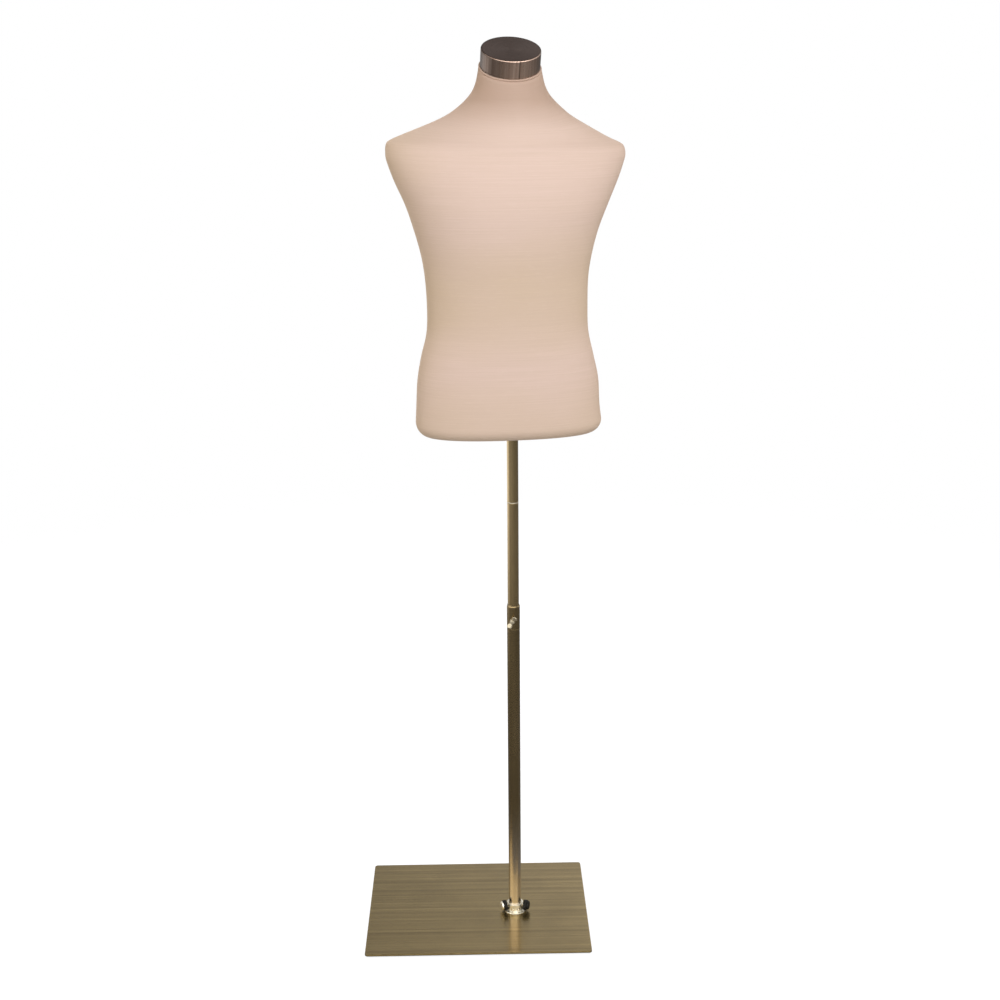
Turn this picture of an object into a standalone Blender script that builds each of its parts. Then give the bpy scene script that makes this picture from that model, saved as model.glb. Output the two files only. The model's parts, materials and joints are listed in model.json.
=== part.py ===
"""Male half-body display mannequin on a height-adjustable pole with a flat base plate.

Metres, +Z up.  The origin is the middle of the base plate on the floor, -Y is the front, and +X is
to the right as seen from the front.  Every piece is one object; empties carry the joint axes.
"""

import bpy
import bmesh
from math import cos, pi, radians, sin, tan
from mathutils import Vector

GAP = 0.0003                      # gap between faces that touch

# Base plate and its felt
PLATE_WIDTH = 0.446
PLATE_DEPTH = 0.344
PLATE_THICK = 0.004
FELT_THICK = 0.0015
FELT_INSET = 0.004
PLATE_CORNER = 0.0015
PLATE_BOTTOM = FELT_THICK + GAP
PLATE_TOP = PLATE_BOTTOM + PLATE_THICK

# Pole axis, off the middle of the plate
POLE_X = 0.076
POLE_Y = -0.013

# Tubes
TUBE_WALL = 0.0012
LOWER_RADIUS = 0.0125
LOWER_BORE = LOWER_RADIUS - TUBE_WALL
UPPER_RADIUS = 0.0110
UPPER_BORE = UPPER_RADIUS - TUBE_WALL
TUBE_SIDES = 24

# Base socket with its two thumb screws and two set screws
SOCKET_RADIUS = 0.0165
SOCKET_BORE = LOWER_RADIUS + GAP
SOCKET_HEIGHT = 0.017
SOCKET_FLOOR = 0.0025
FLANGE_RADIUS = 0.0230
FLANGE_THICK = 0.0016
SOCKET_BOTTOM = PLATE_TOP + GAP
SOCKET_TOP = SOCKET_BOTTOM + SOCKET_HEIGHT
THUMB_HEIGHT = 0.0185
KNOB_RADIUS = 0.0104
THUMB_TURN = radians(18)          # both thumb screws point sideways and this far to the front
SET_SCREW_HEIGHT = 0.0125
SET_SCREW_TURNS = (radians(-19), radians(27))
SET_SCREW_RADIUS = 0.0025
KNOB_DEPTH = 0.0075
END_CAP_RADIUS = 0.0088
BOLT_RADIUS = 0.004
BOLT_HEAD_RADIUS = 0.0080
BOLT_HEAD_THICK = 0.0022
NUT_FLATS = 0.013

# Clamp fitting at the top of the lower tube
FITTING_BOTTOM = 0.6243
FITTING_TOP = 0.6690
FITTING_RADIUS = 0.01275
LIP_TOP = 0.6730
BUSH_SEAT_RADIUS = 0.0119
BUSH_SEAT_DEPTH = 0.012
WING_HEIGHT = 0.6440
WING_TURN = radians(-7)
BOSS_RADIUS = 0.0055
BOSS_REACH = 0.0180

# Screws that clamp a tube: all M6
SCREW_RADIUS = 0.0030
SCREW_HOLE = SCREW_RADIUS + GAP
PAD_RADIUS = 0.0028
PAD_THICK = 0.0014

# Upper pole: two lengths with a ring between them
POLE_BOTTOM = 0.4200
RING_BOTTOM = 0.8780
RING_THICK = 0.0014
POLE_TOP = 1.1090

# Torso, in its own frame with the pole as its Z axis
TORSO_TURN = radians(7)
TORSO_BOTTOM = 1.0140
ROUNDING = 0.025                  # radius of the bottom edge
COVER_THICK = 0.0030
SHELL_THICK = 0.0025
POLE_HOLE = 0.0190
TORSO_SIDES = 28
BOARD_THICK = 0.015
BOARD_INSET = 0.0235
POLE_SOCKET_WALL = 0.0022
POLE_SOCKET_FLANGE = 0.040
FLANGE_SCREW_CIRCLE = 0.029
FLANGE_SCREW_RADIUS = 0.0021

# height, half width, front depth, back depth, middle x, middle y, forward tilt and drop to the right
# in degrees, squareness
SECTIONS = (
    (1.0390, 0.1740, 0.085, 0.123, -0.0060, 0.001, 0.0, 0.2, 2.35),
    (1.0720, 0.1710, 0.087, 0.121, -0.0070, 0.001, 0.0, 0.4, 2.35),
    (1.1180, 0.1682, 0.087, 0.115, -0.0070, 0.000, 0.0, 0.3, 2.30),
    (1.1630, 0.1594, 0.087, 0.105, -0.0080, 0.000, 0.0, 0.1, 2.25),
    (1.2060, 0.1494, 0.088, 0.097, -0.0075, 0.000, 0.0, 0.0, 2.20),
    (1.2520, 0.1474, 0.093, 0.094, -0.0075, 0.000, 0.0, 0.0, 2.20),
    (1.3070, 0.1492, 0.101, 0.097, -0.0085, 0.000, 0.0, 0.1, 2.20),
    (1.3500, 0.1557, 0.110, 0.102, -0.0085, 0.001, 0.0, 0.1, 2.25),
    (1.3940, 0.1674, 0.118, 0.108, -0.0085, 0.003, 0.0, 0.2, 2.30),
    (1.4360, 0.1825, 0.123, 0.111, -0.0070, 0.006, 0.0, 0.3, 2.35),
    (1.4790, 0.2015, 0.1215, 0.111, -0.0070, 0.010, 0.0, 0.4, 2.30),
    (1.5120, 0.2138, 0.1165, 0.108, -0.0065, 0.013, 0.0, 0.6, 2.15),
    (1.5260, 0.2162, 0.1115, 0.105, -0.0060, 0.013, 0.5, 0.8, 2.05),
    (1.5390, 0.2144, 0.1065, 0.102, -0.0065, 0.013, 1.0, 1.1, 1.93),
    (1.5460, 0.2072, 0.1035, 0.100, -0.0065, 0.013, 2.0, 1.3, 1.85),
    (1.5590, 0.1772, 0.0975, 0.096, -0.0050, 0.012, 4.0, 1.4, 1.72),
    (1.5850, 0.1214, 0.0880, 0.089, -0.0015, 0.011, 8.0, 0.5, 1.62),
    (1.6030, 0.0940, 0.079, 0.081, 0.0010, 0.008, 12.0, 0.5, 1.65),
    (1.6235, 0.0722, 0.069, 0.070, 0.0010, 0.004, 16.5, 0.4, 1.80),
    (1.6445, 0.0612, 0.061, 0.062, 0.0000, -0.001, 20.5, 0.2, 1.93),
    (1.6735, 0.0550, 0.0550, 0.0550, -0.0010, -0.006, 24.5, 0.0, 2.00),
)

# Neck cap, on an axis square to the neck's top
NECK_HEIGHT = SECTIONS[-1][0]
NECK_X = SECTIONS[-1][4]
NECK_Y = SECTIONS[-1][5]
NECK_TILT = radians(SECTIONS[-1][6])
CAP_RADIUS = 0.0530
CAP_HEIGHT = 0.0325
CAP_START = 0.0006
CAP_WALL = 0.0012
CAP_TOP_THICK = 0.0015
PEG_RADIUS = 0.0040
PEG_DEPTH = 0.022
PLUG_RADIUS = 0.0480
PLUG_DEPTH = 0.026
INSERT_RADIUS = 0.0062


def clear_scene():
    for item in list(bpy.data.objects):
        bpy.data.objects.remove(item, do_unlink=True)


def material(name, colour, roughness, metallic):
    made = bpy.data.materials.new(name)
    made.use_nodes = True
    shader = made.node_tree.nodes["Principled BSDF"]
    shader.inputs["Base Color"].default_value = (*colour, 1.0)
    shader.inputs["Roughness"].default_value = roughness
    shader.inputs["Metallic"].default_value = metallic
    return made


# kind: linear colour, roughness, metallic
FINISHES = {
    "jersey": ((0.70, 0.52, 0.40), 0.95, 0.0),
    "antique_brass": ((0.20, 0.15, 0.08), 0.35, 1.0),
    "bright_brass": ((0.75, 0.65, 0.45), 0.25, 1.0),
    "brown_metal": ((0.14, 0.09, 0.07), 0.35, 1.0),
    "brushed_plate": ((0.30, 0.23, 0.14), 0.40, 1.0),
    "black_plastic": ((0.02, 0.02, 0.02), 0.45, 0.0),
    "white_plastic": ((0.75, 0.75, 0.72), 0.50, 0.0),
    "steel": ((0.45, 0.45, 0.46), 0.35, 1.0),
    "fibreglass": ((0.60, 0.52, 0.36), 0.55, 0.0),
    "board": ((0.42, 0.28, 0.16), 0.80, 0.0),
    "felt": ((0.03, 0.03, 0.03), 1.0, 0.0),
}


def empty(name, location, rotation=(0.0, 0.0, 0.0), parent=None):
    made = bpy.data.objects.new(name, None)
    made.location = location
    made.rotation_euler = rotation
    made.parent = parent
    bpy.context.collection.objects.link(made)
    return made


def mesh_object(name, verts, faces, finish, parent=None, smooth_angle=35):
    """One closed body from vertices and faces, with its own material."""
    mesh = bpy.data.meshes.new(name)
    mesh.from_pydata([tuple(v) for v in verts], [], faces)
    work = bmesh.new()
    work.from_mesh(mesh)
    bmesh.ops.recalc_face_normals(work, faces=work.faces)
    work.to_mesh(mesh)
    work.free()
    mesh.shade_smooth()
    mesh.set_sharp_from_angle(angle=radians(smooth_angle))
    if finish:
        mesh.materials.append(material(name, *FINISHES[finish]))
    made = bpy.data.objects.new(name, mesh)
    made.parent = parent
    bpy.context.collection.objects.link(made)
    return made


def turned(name, profile, finish, parent=None, sides=TUBE_SIDES, centre=(0.0, 0.0)):
    """A closed (radius, height) outline turned about Z; radius 0 makes one point."""
    verts = []
    rings = []
    for radius, height in profile:
        count = sides if radius > 0 else 1
        ring = []
        for step in range(count):
            angle = 2 * pi * step / sides
            ring.append(len(verts))
            verts.append((centre[0] + radius * cos(angle), centre[1] + radius * sin(angle), height))
        rings.append(ring)
    faces = []
    for low, high in zip(rings, rings[1:] + rings[:1]):
        for step in range(sides):
            after = (step + 1) % sides
            corners = (low[step % len(low)], low[after % len(low)],
                       high[after % len(high)], high[step % len(high)])
            face = tuple(dict.fromkeys(corners))
            if len(face) > 2:
                faces.append(face)
    return mesh_object(name, verts, faces, finish, parent)


def disc(name, radius, low, high, finish, parent=None, sides=TUBE_SIDES, centre=(0.0, 0.0), chamfer=0.0):
    profile = [(0, low), (radius, low), (radius, high - chamfer)]
    if chamfer:
        profile.append((radius - chamfer, high))
    profile.append((0, high))
    return turned(name, profile, finish, parent, sides, centre)


def tube(name, outer, inner, low, high, finish, parent=None, sides=TUBE_SIDES):
    edge = 0.0003
    profile = [(inner, low), (outer - edge, low), (outer, low + edge), (outer, high - edge),
               (outer - edge, high), (inner, high)]
    return turned(name, profile, finish, parent, sides)


def prism(name, outline, low, high, finish, parent=None):
    """An (x, y) outline raised from low to high."""
    count = len(outline)
    verts = [(x, y, low) for x, y in outline] + [(x, y, high) for x, y in outline]
    faces = [tuple(range(count)), tuple(range(count, 2 * count))]
    for step in range(count):
        after = (step + 1) % count
        faces.append((step, after, count + after, count + step))
    return mesh_object(name, verts, faces, finish, parent)


def combine(target, other, operation):
    """Boolean with a hidden tool object."""
    other.hide_render = True
    other.display_type = 'WIRE'
    step = target.modifiers.new(operation.lower(), 'BOOLEAN')
    step.operation = operation
    step.solver = 'EXACT'
    step.object = other


def hole(target, radius, low, high, parent=None, centre=(0.0, 0.0), sides=12):
    tool = disc(target.name + "_hole", radius, low, high, None, parent, sides, centre)
    combine(target, tool, 'DIFFERENCE')


def hexagon(across_flats, turn=0.0):
    radius = across_flats / (2 * cos(pi / 6))
    return [(radius * cos(turn + step * pi / 3), radius * sin(turn + step * pi / 3))
            for step in range(6)]


# ---------------------------------------------------------------- stand

def outward_frame(name, parent, height, turn):
    """An empty on the pole axis whose +Z points out sideways; turn 0 faces the front."""
    return empty(name, (0.0, 0.0, height), (pi / 2, 0.0, turn), parent)


def base_plate(pole):
    half_x = PLATE_WIDTH / 2
    half_y = PLATE_DEPTH / 2
    cut = PLATE_CORNER
    outline = [(half_x - cut, -half_y), (half_x, -half_y + cut), (half_x, half_y - cut),
               (half_x - cut, half_y), (-half_x + cut, half_y), (-half_x, half_y - cut),
               (-half_x, -half_y + cut), (-half_x + cut, -half_y)]
    plate = prism("base_plate", outline, PLATE_BOTTOM, PLATE_TOP, "brushed_plate")
    hole(plate, BOLT_RADIUS + GAP, 0.0, 0.02, pole)
    recess = disc("base_plate_recess", BOLT_HEAD_RADIUS + 0.0005, 0.0,
                  PLATE_BOTTOM + BOLT_HEAD_THICK + 0.0004, None, pole)
    combine(plate, recess, 'DIFFERENCE')
    half_x -= FELT_INSET
    half_y -= FELT_INSET
    corners = [(half_x, -half_y), (half_x, half_y), (-half_x, half_y), (-half_x, -half_y)]
    prism("base_felt", corners, 0.0, FELT_THICK, "felt")


def base_socket(pole):
    flange_top = SOCKET_BOTTOM + FLANGE_THICK
    floor_top = SOCKET_BOTTOM + SOCKET_FLOOR
    bevel = 0.0008
    profile = [(BOLT_RADIUS + GAP, SOCKET_BOTTOM), (FLANGE_RADIUS, SOCKET_BOTTOM),
               (FLANGE_RADIUS, flange_top - 0.0005), (FLANGE_RADIUS - 0.0005, flange_top),
               (SOCKET_RADIUS, flange_top), (SOCKET_RADIUS, SOCKET_TOP - bevel),
               (SOCKET_RADIUS - bevel, SOCKET_TOP), (SOCKET_BORE, SOCKET_TOP),
               (SOCKET_BORE, floor_top), (BOLT_RADIUS + GAP, floor_top)]
    socket = turned("base_socket", profile, "bright_brass", pole)
    for side, turn in (("left", THUMB_TURN - pi / 2), ("right", pi / 2 - THUMB_TURN)):
        axis = outward_frame("thumb_axis_" + side, pole, THUMB_HEIGHT, turn)
        hole(socket, SCREW_HOLE, 0.006, 0.030, axis)
        thumb_screw(side, axis)
    for side, turn in zip(("left", "right"), SET_SCREW_TURNS):
        axis = outward_frame("set_screw_axis_" + side, pole, SET_SCREW_HEIGHT, turn)
        hole(socket, SET_SCREW_RADIUS + GAP, 0.006, 0.030, axis)
        set_screw("set_screw_" + side, axis)


def set_screw(name, axis):
    """Socket-head grub screw, nearly flush with the collar."""
    inner = LOWER_RADIUS + 0.0004
    outer = SOCKET_RADIUS + 0.0004
    radius = SET_SCREW_RADIUS
    key = 0.0012
    profile = [(0, inner), (radius - 0.0007, inner), (radius, inner + 0.0007), (radius, outer - 0.0003),
               (radius - 0.0003, outer), (key, outer), (key, outer - 0.0015), (0, outer - 0.0015)]
    turned(name, profile, "bright_brass", axis, 12)


def thumb_screw(side, axis):
    """Screw with a metal shaft, a ribbed black knob and an end cap, and the pad it pushes."""
    pad_low = LOWER_RADIUS + GAP
    pad_high = pad_low + PAD_THICK
    disc("thumb_pad_" + side, PAD_RADIUS, pad_low, pad_high, "white_plastic", axis, 12)
    shaft_low = pad_high + GAP
    knob_low = SOCKET_RADIUS + 0.0021
    knob_high = knob_low + KNOB_DEPTH
    collar = 0.0062
    profile = [(0, shaft_low), (SCREW_RADIUS - 0.0005, shaft_low), (SCREW_RADIUS, shaft_low + 0.0005),
               (SCREW_RADIUS, knob_low - 0.0013), (collar, knob_low - 0.0013),
               (collar, knob_low - GAP), (SCREW_RADIUS, knob_low - GAP),
               (SCREW_RADIUS, knob_high - 0.001), (0, knob_high - 0.001)]
    turned("thumb_shaft_" + side, profile, "bright_brass", axis, 16)
    ribs = 12
    outline = []
    for step in range(4 * ribs):
        radius = KNOB_RADIUS if step % 4 in (0, 1) else KNOB_RADIUS - 0.0009
        angle = 2 * pi * step / (4 * ribs)
        outline.append((radius * cos(angle), radius * sin(angle)))
    knob = prism("thumb_knob_" + side, outline, knob_low, knob_high, "black_plastic", axis)
    hole(knob, SCREW_HOLE, 0.0, 0.05, axis)
    cap_low = knob_high + GAP
    cap = END_CAP_RADIUS
    profile = [(0, cap_low), (cap, cap_low), (cap, cap_low + 0.0022), (cap - 0.0010, cap_low + 0.0033),
               (cap / 2, cap_low + 0.0039), (0, cap_low + 0.0041)]
    finish = "bright_brass" if side == "left" else "black_plastic"
    turned("thumb_cap_" + side, profile, finish, axis, 24)


def socket_bolt(pole):
    """Flat-headed bolt from below, with the washer and nut inside the lower tube."""
    floor_top = SOCKET_BOTTOM + SOCKET_FLOOR
    washer_low = floor_top + GAP
    washer_high = washer_low + 0.0012
    nut_low = washer_high + GAP
    nut_high = nut_low + 0.0065
    head_top = PLATE_BOTTOM + BOLT_HEAD_THICK
    profile = [(0, PLATE_BOTTOM), (BOLT_HEAD_RADIUS, PLATE_BOTTOM), (BOLT_HEAD_RADIUS, head_top),
               (BOLT_RADIUS, head_top), (BOLT_RADIUS, nut_high + 0.002), (0, nut_high + 0.002)]
    turned("socket_bolt", profile, "steel", pole, 20)
    tube("socket_washer", 0.0085, BOLT_RADIUS + GAP, washer_low, washer_high, "steel", pole, 20)
    nut = prism("socket_nut", hexagon(NUT_FLATS), nut_low, nut_high, "steel", pole)
    hole(nut, BOLT_RADIUS + GAP, 0.0, 0.05, pole, sides=20)


def lower_pole(pole):
    low = SOCKET_BOTTOM + SOCKET_FLOOR + GAP
    tube("lower_pole", LOWER_RADIUS, LOWER_BORE, low, FITTING_BOTTOM - GAP, "antique_brass", pole)


def clamp_fitting(pole):
    """Brazed fitting with a threaded boss, and the plastic bush in its top."""
    bore = UPPER_RADIUS + GAP
    seat = BUSH_SEAT_RADIUS
    seat_bottom = FITTING_TOP - BUSH_SEAT_DEPTH
    profile = [(bore, FITTING_BOTTOM), (FITTING_RADIUS, FITTING_BOTTOM), (FITTING_RADIUS, FITTING_TOP),
               (seat, FITTING_TOP), (seat, seat_bottom), (bore, seat_bottom)]
    fitting = turned("clamp_fitting", profile, "antique_brass", pole)
    axis = outward_frame("wing_axis", pole, WING_HEIGHT, WING_TURN)
    boss = disc("clamp_fitting_boss", BOSS_RADIUS, bore + 0.0006, BOSS_REACH, None, axis, 20,
                chamfer=0.0008)
    combine(fitting, boss, 'UNION')
    hole(fitting, SCREW_HOLE, 0.002, 0.030, axis)
    spigot = seat - GAP
    profile = [(bore, seat_bottom + GAP), (spigot, seat_bottom + GAP), (spigot, FITTING_TOP + GAP),
               (FITTING_RADIUS, FITTING_TOP + GAP), (FITTING_RADIUS, FITTING_TOP + 0.0016),
               (bore + 0.0006, LIP_TOP), (bore, LIP_TOP)]
    turned("fitting_bush", profile, "antique_brass", pole)
    wing_screw(axis)


def wing_screw(axis):
    """Screw with two rising paddle wings, and the pad in front of it."""
    pad_low = UPPER_RADIUS + GAP
    pad_high = pad_low + PAD_THICK
    disc("wing_screw_pad", PAD_RADIUS, pad_low, pad_high, "white_plastic", axis, 12)
    tip = pad_high + GAP
    hub_low = BOSS_REACH + GAP
    hub_high = hub_low + 0.0075
    profile = [(0, tip), (SCREW_RADIUS - 0.0005, tip), (SCREW_RADIUS, tip + 0.0005),
               (SCREW_RADIUS, hub_low), (0.0046, hub_low), (0.0050, hub_low + 0.003),
               (0.0042, hub_high - 0.001), (0.0030, hub_high), (0, hub_high)]
    screw = turned("wing_screw", profile, "bright_brass", axis, 20)
    for side in (0, 1):
        wing = wing_paddle("wing_screw_wing_%d" % side, axis)
        wing.location = (0.0, 0.0, hub_low + 0.0030)
        wing.rotation_euler = (0.0, radians(-30), radians(55) + side * pi)
        combine(screw, wing, 'UNION')


def wing_paddle(name, axis):
    """Flat rounded paddle along +X: a narrow root that swells to a round end."""
    end = 0.0098
    width = 0.0045
    outline = [(0.0, -0.0022), (0.004, -0.0024)]
    for step in range(9):
        angle = radians(-80 + 160 * step / 8)
        outline.append((end + width * cos(angle), width * sin(angle)))
    outline += [(0.004, 0.0024), (0.0, 0.0022)]
    return prism(name, outline, -0.0010, 0.0010, None, axis)


# ---------------------------------------------------------------- upper pole

def upper_pole(pole):
    ring_top = RING_BOTTOM + RING_THICK
    tube("upper_pole_bottom", UPPER_RADIUS, UPPER_BORE, POLE_BOTTOM, RING_BOTTOM - GAP,
         "antique_brass", pole)
    tube("joint_ring", UPPER_RADIUS, 0.0056, RING_BOTTOM, ring_top, "bright_brass", pole)
    tube("upper_pole_top", UPPER_RADIUS, UPPER_BORE, ring_top + GAP, POLE_TOP, "antique_brass", pole)
    body = UPPER_BORE - GAP
    profile = [(0, RING_BOTTOM - 0.030), (body, RING_BOTTOM - 0.030), (body, RING_BOTTOM - 0.001),
               (0.005, RING_BOTTOM - 0.001), (0.005, ring_top + 0.001), (body, ring_top + 0.001),
               (body, ring_top + 0.030), (0, ring_top + 0.030)]
    turned("joint_stud", profile, "steel", pole, 24)
    for name, end, way in (("pole_guide_bush", POLE_BOTTOM, -1), ("pole_top_plug", POLE_TOP, 1)):
        face = end + way * GAP
        head = 0.012 if way < 0 else 0.002
        rim = UPPER_RADIUS + (0.0001 if way < 0 else -0.0002)
        profile = [(0, face - way * 0.014), (body, face - way * 0.014), (body, face),
                   (rim, face), (rim, face + way * head), (0, face + way * head)]
        turned(name, profile, "black_plastic", pole, 24)


# ---------------------------------------------------------------- torso

def ring_points(row, inset=0.0, height=None):
    """One section's outline, a superellipse with its own front and back depth, tilted both ways."""
    level, half, front, back, middle_x, middle_y, tilt, drop, square = row
    if height is not None:
        level = height
    points = []
    for step in range(TORSO_SIDES):
        angle = 2 * pi * step / TORSO_SIDES
        across, along = cos(angle), sin(angle)
        x = (half - inset) * (abs(across) ** (2 / square)) * (1 if across > 0 else -1)
        depth = (back if along > 0 else front) - inset
        y = depth * (abs(along) ** (2 / square)) * (1 if along > 0 else -1)
        rise = y * sin(radians(tilt)) - x * tan(radians(drop))
        points.append(Vector((middle_x + x, middle_y + y * cos(radians(tilt)), level + rise)))
    return points


def torso_grid():
    """Rings of points from the pole hole, round the bottom edge and up to the neck."""
    hole_ring = []
    for step in range(TORSO_SIDES):
        angle = 2 * pi * step / TORSO_SIDES
        hole_ring.append(Vector((POLE_HOLE * cos(angle), POLE_HOLE * sin(angle), TORSO_BOTTOM)))
    grid = [hole_ring]
    for step in range(4):
        angle = radians(90 * step / 4)
        inset = ROUNDING * (1 - sin(angle))
        grid.append(ring_points(SECTIONS[0], inset, TORSO_BOTTOM + ROUNDING * (1 - cos(angle))))
    for row in SECTIONS:
        grid.append(ring_points(row))
    return grid


def offset_grid(grid, distance):
    """The grid moved inwards along its normals."""
    moved = []
    count = len(grid[0])
    last = len(grid) - 1
    neck_axis = Vector((0.0, -sin(NECK_TILT), cos(NECK_TILT)))
    for level, ring in enumerate(grid):
        row = []
        for step, point in enumerate(ring):
            around = ring[(step + 1) % count] - ring[step - 1]
            along = grid[min(level + 1, last)][step] - grid[max(level - 1, 0)][step]
            normal = around.cross(along)
            if level <= 1:
                normal = Vector((0.0, 0.0, -1.0))
            if level == last:
                normal -= neck_axis * normal.dot(neck_axis)
            row.append(point - normal.normalized() * distance)
        moved.append(row)
    return moved


def skin(name, outer, inner, finish, parent):
    """A closed skin between two grids that run all the way round."""
    count = len(outer[0])
    levels = len(outer)
    verts = [p for ring in outer for p in ring] + [p for ring in inner for p in ring]
    shift = levels * count
    faces = []
    for level in range(levels - 1):
        for step in range(count):
            a = level * count + step
            b = level * count + (step + 1) % count
            faces.append((a, b, b + count, a + count))
            faces.append((shift + a, shift + a + count, shift + b + count, shift + b))
    for level in (0, levels - 1):
        for step in range(count):
            a = level * count + step
            b = level * count + (step + 1) % count
            faces.append((a, shift + a, shift + b, b))
    return mesh_object(name, verts, faces, finish, parent, 60)


def half_skin(name, outer, inner, first, side, finish, parent):
    """Half of a skin, from ring position first over half a turn, drawn back from the seam."""
    count = len(outer[0])
    span = count // 2 + 1
    levels = len(outer)
    verts = []
    for grid in (outer, inner):
        for ring in grid:
            for step in range(span):
                point = ring[(first + step) % count].copy()
                if step in (0, span - 1):
                    point.y += side * GAP / 2
                verts.append(point)
    shift = levels * span
    faces = []
    for level in range(levels - 1):
        for step in range(span - 1):
            a = level * span + step
            faces.append((a, a + 1, a + 1 + span, a + span))
            faces.append((shift + a, shift + a + span, shift + a + 1 + span, shift + a + 1))
        for step in (0, span - 1):
            a = level * span + step
            faces.append((a, a + span, shift + a + span, shift + a))
    for level in (0, levels - 1):
        for step in range(span - 1):
            a = level * span + step
            faces.append((a, shift + a, shift + a + 1, a + 1))
    return mesh_object(name, verts, faces, finish, parent, 60)


def torso(pivot):
    grid = torso_grid()
    skin("fabric_cover", grid, offset_grid(grid, COVER_THICK), "jersey", pivot)
    shell_out = offset_grid(grid, COVER_THICK + GAP)[1:]
    shell_in = offset_grid(grid, COVER_THICK + GAP + SHELL_THICK)[1:]
    half_turn = TORSO_SIDES // 2
    half_skin("torso_shell_front", shell_out, shell_in, half_turn, -1, "fibreglass", pivot)
    half_skin("torso_shell_back", shell_out, shell_in, 0, 1, "fibreglass", pivot)
    base_board(pivot)
    neck_plug(pivot)


def base_board(pivot):
    low = TORSO_BOTTOM + COVER_THICK + SHELL_THICK + 4 * GAP
    high = low + BOARD_THICK
    outline = [(p.x, p.y) for p in ring_points(SECTIONS[0], BOARD_INSET)]
    board = prism("base_board", outline, low, high, "board", pivot)
    hole(board, UPPER_RADIUS + 0.0010, low - 0.01, high + 0.01, pivot, sides=24)
    flange_low = high + GAP
    flange_high = flange_low + 0.003
    bore = UPPER_RADIUS + GAP
    outside = bore + POLE_SOCKET_WALL
    plug_top = POLE_TOP + GAP + 0.002
    pad_low = plug_top + GAP
    pad_high = pad_low + 0.003
    roof = pad_high + GAP
    profile = [(bore, flange_low), (POLE_SOCKET_FLANGE, flange_low), (POLE_SOCKET_FLANGE, flange_high),
               (outside, flange_high), (outside, roof + 0.003), (0, roof + 0.003), (0, roof),
               (bore, roof)]
    socket = turned("pole_socket", profile, "steel", pivot)
    disc("thrust_pad", bore - GAP, pad_low, pad_high, "white_plastic", pivot)
    for index in range(4):
        turn = radians(45 + 90 * index)
        centre = (FLANGE_SCREW_CIRCLE * cos(turn), FLANGE_SCREW_CIRCLE * sin(turn))
        for target in (board, socket):
            hole(target, FLANGE_SCREW_RADIUS + GAP, low + 0.003, flange_high + 0.01, pivot, centre, 12)
        profile = [(0, low + 0.004), (FLANGE_SCREW_RADIUS, low + 0.0065),
                   (FLANGE_SCREW_RADIUS, flange_high + GAP),
                   (0.0042, flange_high + GAP), (0.0036, flange_high + 0.0022),
                   (0, flange_high + 0.0027)]
        turned("socket_screw_%d" % (index + 1), profile, "steel", pivot, 12, centre)


def neck_plug(pivot):
    """Wooden block that closes the neck, with the threaded sleeve for the cap's peg."""
    axis = empty("neck_axis", (NECK_X, NECK_Y, NECK_HEIGHT), (NECK_TILT, 0.0, 0.0), pivot)
    sleeve = PEG_RADIUS + GAP
    turned("neck_plug", [(INSERT_RADIUS, -PLUG_DEPTH), (PLUG_RADIUS, -PLUG_DEPTH), (PLUG_RADIUS, 0),
                         (INSERT_RADIUS, 0)], "board", axis)
    tube("neck_insert", INSERT_RADIUS - GAP, sleeve, -PLUG_DEPTH + 0.002, -0.0002, "steel", axis, 20)
    neck_cap(axis)


def neck_cap(neck_axis):
    """Brushed band with a flat top disc round a wooden core, held by a peg and a nut."""
    axis = empty("cap_axis", (0.0, 0.0, 0.0), parent=neck_axis)
    top = CAP_HEIGHT
    inner = CAP_RADIUS - CAP_WALL
    turned("neck_cap_band", [(inner, CAP_START), (CAP_RADIUS - 0.0004, CAP_START),
                             (CAP_RADIUS, CAP_START + 0.0004), (CAP_RADIUS, top - 0.0010),
                             (CAP_RADIUS - 0.0006, top - 0.0001), (inner, top)],
           "brown_metal", axis, 36)
    disc_low = top - CAP_TOP_THICK
    disc("neck_cap_top", inner - GAP, disc_low, top - 0.0001, "brown_metal", axis, 36)
    core_low = CAP_START + 0.0002
    core_high = disc_low - GAP
    nut_low = core_high - 0.009
    peg_hole = PEG_RADIUS + GAP
    turned("neck_cap_core", [(peg_hole, core_low), (inner - GAP, core_low), (inner - GAP, core_high),
                             (0.0090, core_high), (0.0090, nut_low), (peg_hole, nut_low)],
           "board", axis)
    turned("neck_cap_peg", [(0, -PEG_DEPTH), (PEG_RADIUS - 0.001, -PEG_DEPTH),
                            (PEG_RADIUS, -PEG_DEPTH + 0.001), (PEG_RADIUS, core_high - 0.0015),
                            (0, core_high - 0.0015)], "steel", axis, 20)
    nut = prism("neck_cap_nut", hexagon(NUT_FLATS), nut_low + GAP, nut_low + 0.0065, "steel", axis)
    hole(nut, peg_hole, nut_low - 0.01, nut_low + 0.02, axis, sides=20)


def build():
    clear_scene()
    stand = empty("stand_axis", (POLE_X, POLE_Y, 0.0))
    base_plate(stand)
    base_socket(stand)
    socket_bolt(stand)
    lower_pole(stand)
    clamp_fitting(stand)
    pole = empty("pole_axis", (POLE_X, POLE_Y, 0.0))
    upper_pole(pole)
    pivot = empty("torso_axis", (0.0, 0.0, 0.0), (0.0, 0.0, TORSO_TURN), pole)
    torso(pivot)


build()
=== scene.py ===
"""Display mannequin on its stand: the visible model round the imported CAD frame.

Metres, +Z up, -Y is the front.
"""

import json
from math import cos, hypot, pi, radians, sin, tan

import bmesh
import bpy
from mathutils import Matrix, Vector

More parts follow.
